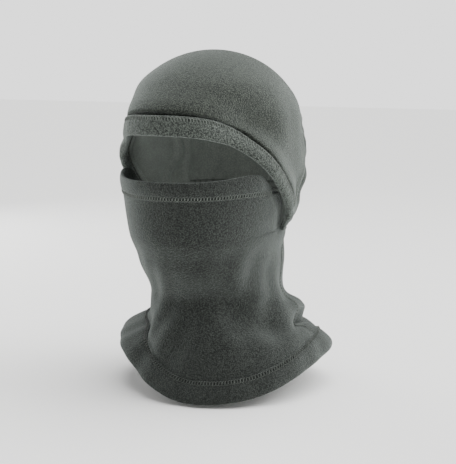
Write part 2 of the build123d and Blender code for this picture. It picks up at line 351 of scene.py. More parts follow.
def laid(turn, climb, offset, extra=0.0):
    """A point of the fabric as it lies on the head: the form's point, pushed out and lifted by
    the folds of the hood or the neck, with extra pushed out further."""
    turn, climb, offset = np.broadcast_arrays(
        np.asarray(turn, float), np.asarray(climb, float), np.asarray(offset, float))
    up, out = form_frame(turn, climb)[1:]
    level = climb + RIM
    below = ramp(-level, 76.0, 92.0)
    push, lift = neck_folds(turn, level)
    push, lift = push * below, lift * below
    push = push + hood_folds(turn, climb) * (1.0 - ramp(-level, 68.0, 80.0)) + extra
    return form_point(turn, climb, offset) + push[..., None] * out + lift[..., None] * up


# ---------------------------------------------------------------- the band's route
def side_view_curve(line, shift, offset):
    """Turns and climbs where a curve in side view, moved sideways by shift, lies on the form."""
    steps = np.linspace(0, len(line) - 1, 1600)
    knots = np.arange(len(line))
    y, z = curve(steps, knots, line[:, 0]), curve(steps, knots, line[:, 1])
    along_y, along_z = np.gradient(y), np.gradient(z)
    length = np.hypot(along_y, along_z)
    y, z = y - shift * along_z / length, z + shift * along_y / length
    tilt = np.arcsin(np.clip((z - RIM) / (DOME_RISE + offset), 0.0, 0.999))
    level = np.minimum(z, RIM)
    half = station(level, 2) / 2 + offset
    middle = station(level, 3)
    cosine = (middle - y) / (half * np.cos(tilt))
    on_form = np.abs(cosine) < 1.0
    climb = np.where(z > RIM, tilt / (np.pi / 2) * DOME_ARC, z - RIM)
    return np.degrees(np.arccos(cosine[on_form])), climb[on_form]


def size(name):
    """A size of the balaclava in millimetres."""
    return getattr(bpy.context.scene.balaclava_sizes, name) / MM


def band_height():
    """Height of the band at the steps of side_view_curve."""
    steps = np.linspace(0, len(BAND_LINE) - 1, 1600)
    fullness = curve(steps, np.arange(len(BAND_LINE)), BAND_LINE[:, 2])
    return size("band_side") + fullness * (size("band_front") - size("band_side"))


def band_route(count):
    """Turns and climbs along the band's middle, from its left end over the brow to its right
    end, evenly spaced."""
    turns, climbs = side_view_curve(BAND_LINE, 0.0, BAND_MIDDLE)
    keep = climbs + RIM > NAPE_LEVEL
    turns, climbs = turns[keep], climbs[keep]
    turns = np.concatenate([turns[::-1], [0.0], -turns])
    climbs = np.concatenate([climbs[::-1], climbs[:1], climbs])
    points = form_point(turns, climbs, BAND_MIDDLE)
    way = np.concatenate([[0.0], np.cumsum(np.linalg.norm(np.diff(points, axis=0), axis=1))])
    even = np.linspace(0.0, way[-1], count)
    return np.interp(even, way, turns), np.interp(even, way, climbs)


def band_edge_climb(turn, extra=0.0):
    """Climb of the band's upper edge at each turn, moved up by extra. Beyond the band's ends it
    is the nape seam's."""
    turns, climbs = side_view_curve(BAND_LINE, band_height() / 2 + extra, 6.0)
    order = np.argsort(turns)
    edge = np.interp(np.abs(turn), turns[order], climbs[order], right=NAPE_CLIMB)
    return np.maximum(edge, NAPE_CLIMB)


# ---------------------------------------------------------------- meshes
def put_mesh(name, points, faces, material):
    """A smooth mesh object from points in mm and a list of face arrays. A closed mesh whose
    faces enclose a negative volume has them turned round, so that they point outwards."""
    volume = 0.0
    for group in faces:
        corners = points[group]
        for corner in range(1, group.shape[1] - 1):
            volume += np.einsum("ij,ij->", corners[:, 0],
                                np.cross(corners[:, corner], corners[:, corner + 1]))
    if volume < 0:
        faces = [group[:, ::-1] for group in faces]
    mesh = bpy.data.meshes.new(name)
    listed = [face for group in faces for face in group.tolist()]
    mesh.from_pydata((points * MM).tolist(), [], listed)
    mesh.update()
    mesh.shade_smooth()
    mesh.materials.append(material)
    piece = bpy.data.objects.new(name, mesh)
    bpy.context.scene.collection.objects.link(piece)
    return piece


def grid_faces(rows, columns, around=False, along=False):
    """Quads between the rows and columns of a grid of points. around joins the last column to
    the first, and along the last row to the first."""
    row = np.arange(rows if along else rows - 1)[:, None]
    column = np.arange(columns if around else columns - 1)[None, :]
    next_row, next_column = (row + 1) % rows, (column + 1) % columns
    quads = np.stack([row * columns + column, row * columns + next_column,
                      next_row * columns + next_column, next_row * columns + column], axis=-1)
    return quads.reshape(-1, 4)


def applied(piece):
    """The piece with its modifiers made part of its mesh."""
    graph = bpy.context.evaluated_depsgraph_get()
    mesh = bpy.data.meshes.new_from_object(piece.evaluated_get(graph))
    piece.modifiers.clear()
    piece.data = mesh
    return piece


def cloth(name, grid, fleece, around=False, pole=False):
    """A sheet of the named fleece whose outer side is the grid. pole closes the last row to a
    point. Its wall is laid behind the grid, and the inner side is the fleece's lining."""
    rows, columns = grid.shape[:2]
    points = grid.reshape(-1, 3)
    faces = [grid_faces(rows, columns, around=around)]
    if pole:
        points = np.concatenate([points, [grid[-1].mean(0)]])
        column = np.arange(columns) + (rows - 1) * columns
        top = np.full(columns, rows * columns)
        faces.append(np.stack([column, np.roll(column, -1), top], axis=-1))
    piece = put_mesh(name, points, faces, material_named(fleece))
    piece.data.materials.append(material_named("sheared_fleece_lining_painted_light"))
    wall = piece.modifiers.new("wall", "SOLIDIFY")
    wall.thickness = bpy.context.scene.balaclava_sizes.fleece
    wall.offset = -1.0
    wall.use_even_offset = False
    wall.use_quality_normals = True
    wall.material_offset = 1
    return applied(piece)


def tube(name, rings, material, along=False):
    """A closed skin of the named material over a row of closed rings. Unless the row closes on
    itself, each end is closed by smaller rings and a point."""
    material = material_named(material)
    count, around = rings.shape[:2]
    if along:
        faces = [grid_faces(count, around, True, True)]
        return put_mesh(name, rings.reshape(-1, 3), faces, material)
    caps = []
    for end in (rings[0], rings[-1]):
        middle = end.mean(0)
        caps.append([middle + (end - middle) * size for size in (0.9, 0.6, 0.3)])
    full = np.array([*caps[0][::-1], *rings, *caps[1]])
    count = len(full)
    points = np.concatenate([full.reshape(-1, 3), [full[0].mean(0)], [full[-1].mean(0)]])
    ring = np.arange(around)
    first = np.stack([np.roll(ring, -1), ring, np.full(around, count * around)], axis=-1)
    last = np.stack([ring, np.roll(ring, -1)], axis=-1) + (count - 1) * around
    last = np.concatenate([last, np.full((around, 1), count * around + 1)], axis=1)
    return put_mesh(name, points, [grid_faces(count, around, True), first, last], material)


def folded_section(height, thickness, count=40, squareness=0.62):
    """Points round a folded edge of fabric: a flattened ring, from -height/2 to height/2 across
    and from -thickness/2 to thickness/2 out."""
    angle = np.linspace(0.0, 2 * np.pi, count, endpoint=False)
    across, out = np.cos(angle), np.sin(angle)
    return (np.sign(across) * np.abs(across) ** squareness * height / 2,
            np.sign(out) * np.abs(out) ** squareness * thickness / 2)


def stitched(name, centres, across, out, width=None, pitch=None, ladder=True,
             material="spun_polyester_thread"):
    """A row of stitches along a line of points: a straight stitch from one to the next on both
    edges of the row, and with ladder rungs across it, beside which the straight ones are thin.
    Each stitch is a bowed thread of six sides with pointed ends. Without a width and a pitch the
    row is a cover stitch."""
    width, pitch = width or size("stitch_width"), pitch or size("stitch_pitch")
    thread = size("thread")
    way = np.concatenate([[0.0], np.cumsum(np.linalg.norm(np.diff(centres, axis=0), axis=1))])
    count = max(int(way[-1] / pitch), 2)
    spots = (np.arange(count) + 0.5) * way[-1] / count
    at = [np.stack([np.interp(spots, way, values[:, axis]) for axis in range(3)], axis=-1)
          for values in (centres, across, out)]
    middle, side, up = at[0], unit(at[1]), unit(at[2])
    draw = np.random.default_rng(len(name) + count)
    starts, ends, ups = [], [], []
    if ladder:
        lean = np.roll(middle, -1, 0) - middle
        lean[-1] = lean[-2]
        skew = draw.uniform(-0.10, 0.10, (count, 1)) + 0.10
        starts.append(middle - side * width / 2 - lean * skew)
        ends.append(middle + side * width / 2 + lean * skew)
        ups.append(up)
    for edge in (-0.5, 0.5):
        line = middle + side * width * edge
        starts.append(line[:-1] * 0.86 + line[1:] * 0.14)
        ends.append(line[:-1] * 0.14 + line[1:] * 0.86)
        ups.append(up[:-1])
    start, end, up = np.concatenate(starts), np.concatenate(ends), np.concatenate(ups)
    way_on = end - start
    length = np.linalg.norm(way_on, axis=-1)
    direction = unit(way_on)
    beside = unit(np.cross(direction, up))
    above = np.cross(beside, direction)
    spread = np.array([0.06, 0.3, 0.7, 0.94])
    weight = np.ones(len(length))
    if ladder:
        weight[count:] = 0.55
    girth = np.array([0.7, 1.0, 1.0, 0.7]) * thread / 2
    bow = np.sin(np.pi * spread) * thread * 0.55
    angle = np.radians(np.arange(0, 360, 60))
    ring = (np.cos(angle)[None, None, :, None] * beside[:, None, None, :]
            + np.sin(angle)[None, None, :, None] * above[:, None, None, :])
    core = (start[:, None, :] + way_on[:, None, :] * spread[None, :, None]
            + above[:, None, :] * bow[None, :, None])
    rings = core[:, :, None, :] + ring * (weight[:, None] * girth[None, :])[:, :, None, None]
    number = len(start)
    tips = np.stack([start - above * thread * 0.2, end - above * thread * 0.2], axis=1)
    points = np.concatenate([rings.reshape(number, -1, 3), tips], axis=1)
    round_thread = len(angle)
    corners = np.arange(round_thread)
    last_ring = round_thread * (len(spread) - 1)
    low_tip, high_tip = (np.full(round_thread, round_thread * len(spread) + tip) for tip in (0, 1))
    sides = grid_faces(len(spread), round_thread, True)
    low = np.stack([np.roll(corners, -1), corners, low_tip], axis=-1)
    high = np.stack([corners + last_ring, np.roll(corners, -1) + last_ring, high_tip], axis=-1)
    shift = (np.arange(number) * points.shape[1])[:, None, None]
    faces = [(group[None] + shift).reshape(-1, group.shape[1]) for group in (sides, low, high)]
    return put_mesh(name, points.reshape(-1, 3), faces, material_named(material))


# ---------------------------------------------------------------- materials
def linear(colour):
    """An sRGB hex colour as linear red, green, blue and alpha."""
    channels = [int(colour[index:index + 2], 16) / 255.0 for index in (1, 3, 5)]
    return (*(c / 12.92 if c <= 0.04045 else ((c + 0.055) / 1.055) ** 2.4 for c in channels), 1.0)


def node(tree, kind, settings=None, **inputs):
    """Adds a node with its settings. An input is a value, or a socket that is linked to it. An
    underscore and a number in place of an input's name pick it by its place."""
    added = tree.nodes.new("ShaderNode" + kind)
    for name, value in (settings or {}).items():
        setattr(added, name, value)
    for name, value in inputs.items():
        key = int(name[1:]) if name[0] == "_" else name.replace("_", " ")
        socket = added.inputs[key]
        if isinstance(value, bpy.types.NodeSocket):
            tree.links.new(value, socket)
        else:
            socket.default_value = value
    return added


def empty_material(name):
    """A new material, its empty node tree and the socket of its object coordinates."""
    material = bpy.data.materials.new(name)
    material.use_nodes = True
    tree = material.node_tree
    tree.nodes.clear()
    return material, tree, node(tree, "TexCoord").outputs["Object"]


def surfaced(tree, colour, relief, depth, strength, **settings):
    """The material's surface, in a colour and with a relief depth mm deep."""
    bump = node(tree, "Bump", Height=relief, Distance=depth * MM, Strength=strength)
    surface = node(tree, "BsdfPrincipled", Base_Color=colour, Normal=bump.outputs["Normal"],
                   **settings)
    node(tree, "OutputMaterial", Surface=surface.outputs["BSDF"])
    return surface


def shades(tree, height, base, dark, light):
    """The base colour over a height pattern, times dark where it is low and light where high."""
    shade = node(tree, "ValToRGB", _0=height)
    for stop, factor in zip(shade.color_ramp.elements, (dark, light)):
        stop.color = (*(c * factor for c in linear(base)[:3]), 1.0)
    return shade


def fabric(name, base, sheen, mottle=0.85, grain=0.88, depth=0.60, roughness=0.95):
    """A knitted, brushed fabric: tufts of nap about grain mm across, their tips lighter than the
    gaps between them, over slow patches of brushed nap. depth is the relief in mm."""
    material, tree, place = empty_material(name)
    tufts = node(tree, "TexNoise", Vector=place, Scale=1.0 / (grain * MM), Detail=1.0,
                 Roughness=0.5)
    curls = node(tree, "TexVoronoi", {"feature": "SMOOTH_F1"}, Vector=place,
                 Scale=1.0 / (1.35 * grain * MM), Smoothness=0.6)
    nap = node(tree, "TexNoise", Vector=place, Scale=1.0 / (14.0 * MM), Detail=3.0, Roughness=0.55)
    relief = node(tree, "Math", {"operation": "MULTIPLY_ADD"},
                  _0=curls.outputs["Distance"], _1=-0.55, _2=tufts.outputs["Fac"])
    shade = shades(tree, relief.outputs[0], base, 1.0 - mottle, 1.0 + mottle)
    shade.color_ramp.elements[0].position = 0.12
    shade.color_ramp.elements[1].position = 0.46
    patches = node(tree, "MapRange", Value=nap.outputs["Fac"], _1=0.3, _2=0.7, _3=0.90, _4=1.10)
    colour = node(tree, "VectorMath", {"operation": "SCALE"}, _0=shade.outputs["Color"],
                  Scale=patches.outputs["Result"])
    surface = surfaced(tree, colour.outputs[0], relief.outputs[0], depth, 1.0,
                       Roughness=roughness, IOR=1.45)
    surface.inputs["Specular IOR Level"].default_value = 0.25
    surface.inputs["Sheen Weight"].default_value = sheen
    surface.inputs["Sheen Roughness"].default_value = 0.55
    surface.inputs["Sheen Tint"].default_value = (0.90, 1.0, 0.95, 1.0)
    return material


def thread_material(name, base):
    """Spun polyester sewing thread: smooth, faintly glossy, with a twist about every millimetre."""
    material, tree, place = empty_material(name)
    twist = node(tree, "TexWave", {"bands_direction": "DIAGONAL"}, Vector=place,
                 Scale=1.0 / (1.1 * MM) / 20.0, Distortion=3.0, Detail=1.0)
    shade = shades(tree, twist.outputs["Fac"], base, 0.72, 1.15)
    surface = surfaced(tree, shade.outputs["Color"], twist.outputs["Fac"], 0.1, 0.6,
                       Roughness=0.55, IOR=1.5)
    surface.inputs["Sheen Weight"].default_value = 0.2
    return material


def elastic_material(name, base):
    """Woven elastic tape: ribs of covered rubber about 1.2 mm apart, which give fine lines."""
    material, tree, place = empty_material(name)
    ribs = node(tree, "TexWave", {"bands_direction": "Z"}, Vector=place,
                Scale=1.0 / (1.2 * MM) / 20.0, Distortion=0.4, Detail=1.0)
    yarn = node(tree, "TexNoise", Vector=place, Scale=1.0 / (0.8 * MM), Detail=1.0)
    mix = node(tree, "Math", {"operation": "MULTIPLY_ADD"}, _0=yarn.outputs["Fac"], _1=0.5,
               _2=ribs.outputs["Fac"])
    shade = shades(tree, mix.outputs[0], base, 0.6, 1.25)
    surfaced(tree, shade.outputs["Color"], mix.outputs[0], 0.25, 0.8, Roughness=0.7, IOR=1.5)
    return material


def floor_material():
    """Pale matt studio paper, with the faintest tooth."""
    material, tree, place = empty_material("studio_paper")
    tooth = node(tree, "TexNoise", Vector=place, Scale=1.0 / (3.0 * MM), Detail=2.0)
    shade = node(tree, "ValToRGB", _0=tooth.outputs["Fac"])
    shade.color_ramp.elements[0].color = linear("#FAFAF8")
    shade.color_ramp.elements[1].color = linear("#FDFDFC")
    surface = node(tree, "BsdfPrincipled", Base_Color=shade.outputs["Color"], Roughness=0.95)
    node(tree, "OutputMaterial", Surface=surface.outputs["BSDF"])
    return material


def material_named(name):
    """The named material, made when it is first asked for."""
    found = bpy.data.materials.get(name)
    if found:
        return found
    colours = bpy.context.scene.balaclava_colours
    makers = {
        # Brushed polyester fleece, dense short nap with a soft sheen at grazing angles. Every piece
        # is the same fleece: the band's lighter colour is painted light, and the mask's, neck's and
        # hem's darker colours are painted shade.
        "brushed_fleece_hood": lambda: fabric(name, colours.hood, 0.34),
        "brushed_fleece_band_painted_light": lambda: fabric(name, colours.band, 0.34),
        "brushed_fleece_mask_painted_shade": lambda: fabric(name, colours.mask, 0.32, 0.88),
        "brushed_fleece_neck_painted_shade": lambda: fabric(name, colours.neck, 0.32, 0.88),
        "brushed_fleece_hem_painted_shade": lambda: fabric(name, colours.hem, 0.30),
        # The fleece's inner face is sheared flat and shows even and smooth. Its colour is paler
        # than the outer fleece's: painted light inside the hood, behind the eye opening.
        "sheared_fleece_lining_painted_light": lambda: fabric(name, colours.lining, 0.25, 0.16, grain=1.0,
                                                depth=0.2, roughness=0.9),
        "spun_polyester_thread": lambda: thread_material(name, colours.thread),
        # The bottom hem's stitches are the same spun thread with a darker colour, painted shade, so
        # that they hardly show in front.
        "polyester_thread_painted_shade": lambda: thread_material(name, colours.hem_thread_painted_shade),
        "woven_elastic": lambda: elastic_material(name, colours.elastic),
        # Satin ribbon label, plain and finely woven, paler and smoother than the fleece.
        "satin_label": lambda: fabric(name, colours.label, 0.2, 0.05, grain=0.6, depth=0.1,
                                      roughness=0.5),
        "studio_paper": floor_material,
    }
    return makers[name]()


def finish_piece(piece, nodes, body=None, bend=None):
    """Hides the CAD parts of the nodes that a piece stands for, and parents the piece to the body
    it moves with. A bent piece is only baked into world space; the bend's body and points are not
    used."""
    if nodes:
        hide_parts(*nodes)
    if bend:
        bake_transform(piece)
    else:
        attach(piece, body)
    return piece


def sew(name, nodes, turn, climb, offset, extra, body=None, bend=None, **looks):
    """A row of stitches laid on the fabric along a line of turns and climbs."""
    line = laid(turn, climb, offset, extra)
    out = form_frame(turn, climb)[2]
    across = unit(np.cross(out, np.gradient(line, axis=0)))
    return finish_piece(stitched(name, line, across, out, **looks), nodes, body, bend)


# Where the fabric bends: the body above, and the points (Y, Z) where it starts and ends. The
# hood stays sewn to the neck at the nape, and the mask stays sewn to the band's lower ends.
HOOD_BEND = ("hood", (0.0, NAPE_LEVEL), (0.0, 10.0))
MASK_BEND = ("mask", (14.0, NAPE_LEVEL), (-49.7, 7.3))


# ---------------------------------------------------------------- sizes and colours
def length(name, description, millimetres):
    """A property that holds a length in metres."""
    return FloatProperty(name=name, description=description, default=millimetres * MM,
                         unit="LENGTH", precision=4)


def colour_of(name, default):
    """A property that holds an sRGB hex colour."""
    return StringProperty(name=name.capitalize(), description=f"Colour of the {name}",
                          default=default)


class BalaclavaSizes(bpy.types.PropertyGroup):
    """Sizes of the balaclava's fabric and stitches."""
    fleece: length("Fleece", "Thickness of one layer", 2.4)
    band_front: length("Band in front", "Height of the brow band in front", 19.0)
    band_side: length("Band at the side", "Height of the band at the ears", 13.5)
    band_thickness: length("Band thickness", "Thickness of the folded band", 5.8)
    nose_hem: length("Nose hem", "Height of the hem over the nose", 18.0)
    bottom_hem: length("Bottom hem", "Height of the bottom hem", 21.0)
    stitch_width: length("Stitch row", "Width of a row of cover stitches", 3.6)
    stitch_pitch: length("Stitch pitch", "Distance from rung to rung", 2.9)
    thread: length("Thread", "Thickness of the sewing thread", 0.95)


class BalaclavaColours(bpy.types.PropertyGroup):
    """sRGB hex colours of the fabric, thread, elastic and label."""
    # The hood, band, mask, neck and hem are one fleece. The band's colour is lighter than the
    # hood's with painted light, and the mask's, neck's and hem's colours are darker with painted
    # shade.
    hood: colour_of("hood", "#31352F")
    band: colour_of("brow band", "#434843")
    mask: colour_of("mask", "#272A27")
    neck: colour_of("neck", "#272A27")
    hem: colour_of("bottom hem", "#262926")
    # The inner face's colour is paler than the outer fleece's: painted light inside the hood.
    lining: colour_of("inner face", "#5A5F5A")
    thread: colour_of("stitches", "#565D56")
    # The bottom hem's thread colour is the stitches' colour darkened with painted shade.
    hem_thread_painted_shade: colour_of("bottom hem's stitches", "#3C423C")
    elastic: colour_of("elastic", "#3E423E")
    label: colour_of("care label", "#E2E2DC")


# ---------------------------------------------------------------- the pieces
class BALACLAVA_OT_hood(bpy.types.Operator):
    """Make the hood: one shell from under the brow band and the nape seam up to the crown"""
    bl_idname = "balaclava.hood"
    bl_label = "Hood"

    def execute(self, context):
        columns, rows = 300, 118
        turn = np.arange(columns) * 1.2 - 180.0
        low = band_edge_climb(turn, -5.0)
        seam = band_edge_climb(turn)
        share = np.linspace(0.0, 1.0, rows)[:, None]
        climb = low + share * (DOME_ARC * 0.985 - low)
        turn, seam = np.broadcast_arrays(turn, seam, climb)[:2]
        over_band = ramp(-np.abs(turn), -BAND_ENDS[1], -BAND_ENDS[0])
        above = climb - seam
        swell = (5.0 * ramp(above, 0.2, 4.0) * hill(above, 4.0, 17.0)
                 + 1.9 * hill(above, -5.0, 3.5))
        at_nape = (1.0 - over_band) * hill(climb, NAPE_CLIMB, 6.0)
        grid = laid(turn, climb, HOOD_OUTER, swell * over_band - NAPE_DRAW * at_nape)
        hood = cloth("hood", grid, "brushed_fleece_hood", around=True, pole=True)
        finish_piece(hood, ["hood_panel"], bend=HOOD_BEND)
        return {"FINISHED"}


class BALACLAVA_OT_band(bpy.types.Operator):
    """Make the folded brow band, the elastic inside it and its stitches"""
    bl_idname = "balaclava.band"
    bl_label = "Brow band"

    def execute(self, context):
        count = 420
        turns, climbs = band_route(count)
        middle = form_point(turns, climbs, BAND_MIDDLE)
        upper = form_point(*above_band_middle(turns, climbs), BAND_MIDDLE)
        across = unit(upper - middle)
        along = unit(np.gradient(middle, axis=0))
        across = unit(across - (across * along).sum(-1, keepdims=True) * along)
        out = unit(np.cross(along, across))
        if (out[count // 2] @ np.array([0.0, -1.0, 0.0])) < 0:
            out = -out
        side = ramp(np.abs(turns), 34.0, 84.0)
        end = ramp(climbs + RIM, NAPE_LEVEL, NAPE_LEVEL + 16.0)
        height = size("band_front") + side * (size("band_side") - size("band_front"))
        height = height * (0.50 + 0.50 * end)
        middle = middle - (3.6 * (1.0 - end))[:, None] * out
        way = np.arange(count) / count
        thick = size("band_thickness") * (1.0 + 0.34 * side) * (0.55 + 0.45 * end)
        thick = thick * (1.0 + 0.045 * np.sin(way * 150.0 + 3.0 * np.sin(way * 31.0)))
        flat, full = folded_section(1.0, 1.0, 44, 0.70), folded_section(1.0, 1.0, 44, 0.96)
        section = [flat[axis][None, :] * (1.0 - side[:, None]) + full[axis][None, :] * side[:, None]
                   for axis in (0, 1)]
        reach = section[0] * height[:, None]
        stand = section[1] * thick[:, None]
        row = (height / 2 - 3.6)[:, None]
        gather = np.sin(way * 430.0 + 2.2 * np.sin(way * 57.0))[:, None]
        groove = 0.75 * hill(reach, row, 1.7) * (1.0 - 0.7 * side[:, None])
        wrinkle = 0.22 * gather * hill(reach, row, 5.0)
        stand = np.where(stand > 0, stand - groove + wrinkle, stand)
        rings = (middle[:, None, :] + reach[..., None] * across[:, None, :]
                 + stand[..., None] * out[:, None, :])
        band = tube("brow_band_fabric", rings, "brushed_fleece_band_painted_light")
        finish_piece(band, ["brow_band"], bend=HOOD_BEND)
        # The elastic is a flat tape in the middle of the fold.
        tape = folded_section(1.0, 1.0, 12, 0.4)
        tape_rings = (middle[:, None, :]
                      + (tape[0][None, :] * height[:, None] * 0.55)[..., None] * across[:, None, :]
                      + (tape[1][None, :] * np.full((count, 1), 1.0))[..., None] * out[:, None, :])
        elastic = tube("brow_band_elastic", tape_rings[4:-4], "woven_elastic")
        finish_piece(elastic, ["brow_elastic"], bend=HOOD_BEND)
        lift = (thick / 2 * 0.93 - 0.62 * (1.0 - 0.7 * side))[:, None]
        line = middle + row * across + lift * out
        keep = slice(26, count - 26)
        stitches = stitched("brow_band_stitches", line[keep], across[keep], out[keep])
        finish_piece(stitches, ["brow_band_stitching"], bend=HOOD_BEND)
        return {"FINISHED"}


def above_band_middle(turns, climbs):
    """Turns and climbs 1 mm above the band's middle line, which show the way across the band."""
    along = unit(np.gradient(form_point(turns, climbs, BAND_MIDDLE), axis=0))
    east, up, out = form_frame(turns, climbs, BAND_MIDDLE)
    across = np.cross(along, out)
    across = across * np.sign((across * up).sum(-1, keepdims=True) + 1e-6)
    one_turn = np.linalg.norm(form_point(turns + 0.5, climbs, BAND_MIDDLE)
                              - form_point(turns - 0.5, climbs, BAND_MIDDLE), axis=-1)
    return turns + (across * east).sum(-1) / one_turn, climbs + (across * up).sum(-1)


class BALACLAVA_OT_stage(bpy.types.Operator):
    """Make the pale floor, the soft studio lights and the camera"""
    bl_idname = "balaclava.stage"
    bl_label = "Stage"

    def execute(self, context):
        low, high = (Vector(corner) for corner in CAD_BOX)
        span = 6.0
        corners = np.array([(-span, -span, 0), (span, -span, 0), (span, span, 0), (-span, span, 0)])
        floor = put_mesh("floor", corners / MM + np.array([0, 0, low.z / MM - 2.0]),
                         [np.array([[0, 1, 2, 3]])], floor_material())
        world = bpy.data.worlds.new("studio")
        world.use_nodes = True
        tree = world.node_tree
        seen = node(tree, "LightPath").outputs["Is Camera Ray"]
        strength = node(tree, "MapRange", Value=seen, _3=0.25, _4=1.9)
        tree.links.new(strength.outputs["Result"], tree.nodes["Background"].inputs["Strength"])
        tree.nodes["Background"].inputs["Color"].default_value = (1.0, 1.0, 1.0, 1.0)
        context.scene.world = world
        middle = (low + high) / 2
        lamps = (
            # place beside the middle, width, watts
            ("left_rim", (-1.2, 0.35, 0.3), 0.8, 9.0),
            ("right_rim", (1.2, 0.6, 0.6), 0.8, 11.0),
            ("front", (0.5, -1.5, 0.35), 1.2, 3.0),
        )
        for name, place, width, watts in lamps:
            place = middle + Vector(place)
            set_up(lamp(name, "AREA", watts, size=width), place, middle - place)
        # A broad soft light from above lights the crown and the whole floor alike.
        set_up(lamp("overhead", "SUN", 5.2, angle=radians(75.0)), (0, 0, 0), (-0.30, -0.25, -1.0))
        # A small lamp in the middle of the hood lights its lining behind the eye opening.
        set_up(lamp("inside", "AREA", 0.10, size=0.09), (0.0, -0.03, 0.0), (0.0, 1.0, 0.0))
        camera = bpy.data.cameras.new("camera")
        camera.lens = 86.4
        camera.sensor_width = 36.0
        place = Vector((0.5634, -0.9449, 0.090))
        context.scene.camera = set_up(camera, place, Vector((0.0134, 0.0077, -0.081)) - place)
        return {"FINISHED"}


def lamp(name, kind, energy, **settings):
    """A lamp of the kind and strength, with its other settings."""
    data = bpy.data.lights.new(name, kind)
    data.energy = energy
    for setting, value in settings.items():
        setattr(data, setting, value)
    return data


def set_up(data, place, towards):
    """Puts a lamp or the camera in the scene at a place, pointing in a direction."""
    holder = bpy.data.objects.new(data.name, data)
    holder.location = place
    holder.rotation_euler = Vector(towards).to_track_quat("-Z", "Y").to_euler()
    bpy.context.scene.collection.objects.link(holder)
    return holder


class BALACLAVA_OT_back_trim(bpy.types.Operator):
    """Make the back seams, the nape seam's stitches, the bartacks and the back elastic"""
    bl_idname = "balaclava.back_trim"
    bl_label = "Back seams and elastic"

    def execute(self, context):
        climb = np.linspace(NAPE_CLIMB + 5.0, 62.0, 160)
        for side, name in SIDES:
            sew(f"back_seam_{name}_stitches", [f"back_seam_{name}"],
                side * seam_turn(BACK_SEAM_LINE, climb), climb, HOOD_OUTER, 0.1,
                width=2.6, pitch=3.4, ladder=False, bend=HOOD_BEND)
        turn = (np.linspace(108.0, 252.0, 200) + 180.0) % 360.0 - 180.0
        climb = np.full(200, NAPE_CLIMB + 3.2)
        sew("nape_seam_stitches", ["nape_seam_stitching"], turn, climb, HOOD_OUTER,
            -NAPE_DRAW * hill(climb, NAPE_CLIMB, 6.0) + 0.1, width=2.6, pitch=3.2, bend=HOOD_BEND)
        # A bartack locks each end of the band to the nape seam: a short dense row of stitches.
        for side, name in SIDES:
            sew(f"band_bartack_{name}", ["band_bartacks"] if side == 1 else [],
                side * np.linspace(97.5, 102.0, 12), np.full(12, NAPE_CLIMB + 2.6), 7.7, 0.0,
                width=2.2, pitch=0.9, bend=HOOD_BEND)
        # The back elastic lies inside the hood, from one back seam to the other.
        turn = np.linspace(126.0, 234.0, 150)[:, None]
        tape = folded_section(8.0, 1.2, 16, 0.4)
        turn = np.where(turn > 180.0, turn - 360.0, turn)
        rings = laid(turn, BACK_ELASTIC_LEVEL - RIM + tape[0][None, :], HOOD_OUTER - 3.6,
                     tape[1][None, :])
        elastic = tube("back_elastic_tape", rings, "woven_elastic")
        finish_piece(elastic, ["back_elastic"], bend=HOOD_BEND)
        return {"FINISHED"}


class BALACLAVA_OT_front(bpy.types.Operator):
    """Make the front fabric, from the nose hem over the chin and throat down to the bottom hem"""
    bl_idname = "balaclava.front"
    bl_label = "Front fabric"

    def execute(self, context):
        rows, columns = 150, 240
        share = np.linspace(-1.0, 1.0, columns)
        top = NOSE_HEM_TOP - size("nose_hem") + 2.0 - RIM
        part = np.linspace(0.0, 1.0, rows)[:, None]
        edge = np.full(rows, 104.0)
        for _ in range(4):
            low = above_hem(share * edge[0], -0.5)
            mean_climb = low[-1] + part[:, 0] * (top - low[-1])
            band = band_end_turn(mean_climb)
            edge = np.where(mean_climb + RIM > NAPE_LEVEL + 1.5, np.minimum(band, 112.0),
                            side_seam_turn(mean_climb))
        turn = share[None, :] * edge[:, None]
        low = above_hem(turn, -0.5)
        climb = low + part * (top - low)
        level = climb + RIM
        offset = NECK_OUTER + (MASK_OUTER - NECK_OUTER) * ramp(level, -98.0, -78.0)
        end_turn = band_end_turn(climb)
        tuck = ramp(np.abs(turn), end_turn - 13.0, end_turn - 4.0)
        sink = -2.2 * tuck * ramp(level, -84.0, -68.0)
        grid = laid(turn, climb, offset, sink)
        front = cloth("front_fabric", grid, "brushed_fleece_mask_painted_shade")
        finish_piece(front, ["mask_panel", "front_panel"], bend=MASK_BEND)
        return {"FINISHED"}


def band_end_turn(climb):
    """Turn at each climb of the line where the mask's fabric ends under the band."""
    turns, climbs = side_view_curve(BAND_LINE, -band_height() / 2 + 5.0, MASK_OUTER)
    order = np.argsort(climbs)
    return np.interp(climb, climbs[order], turns[order])


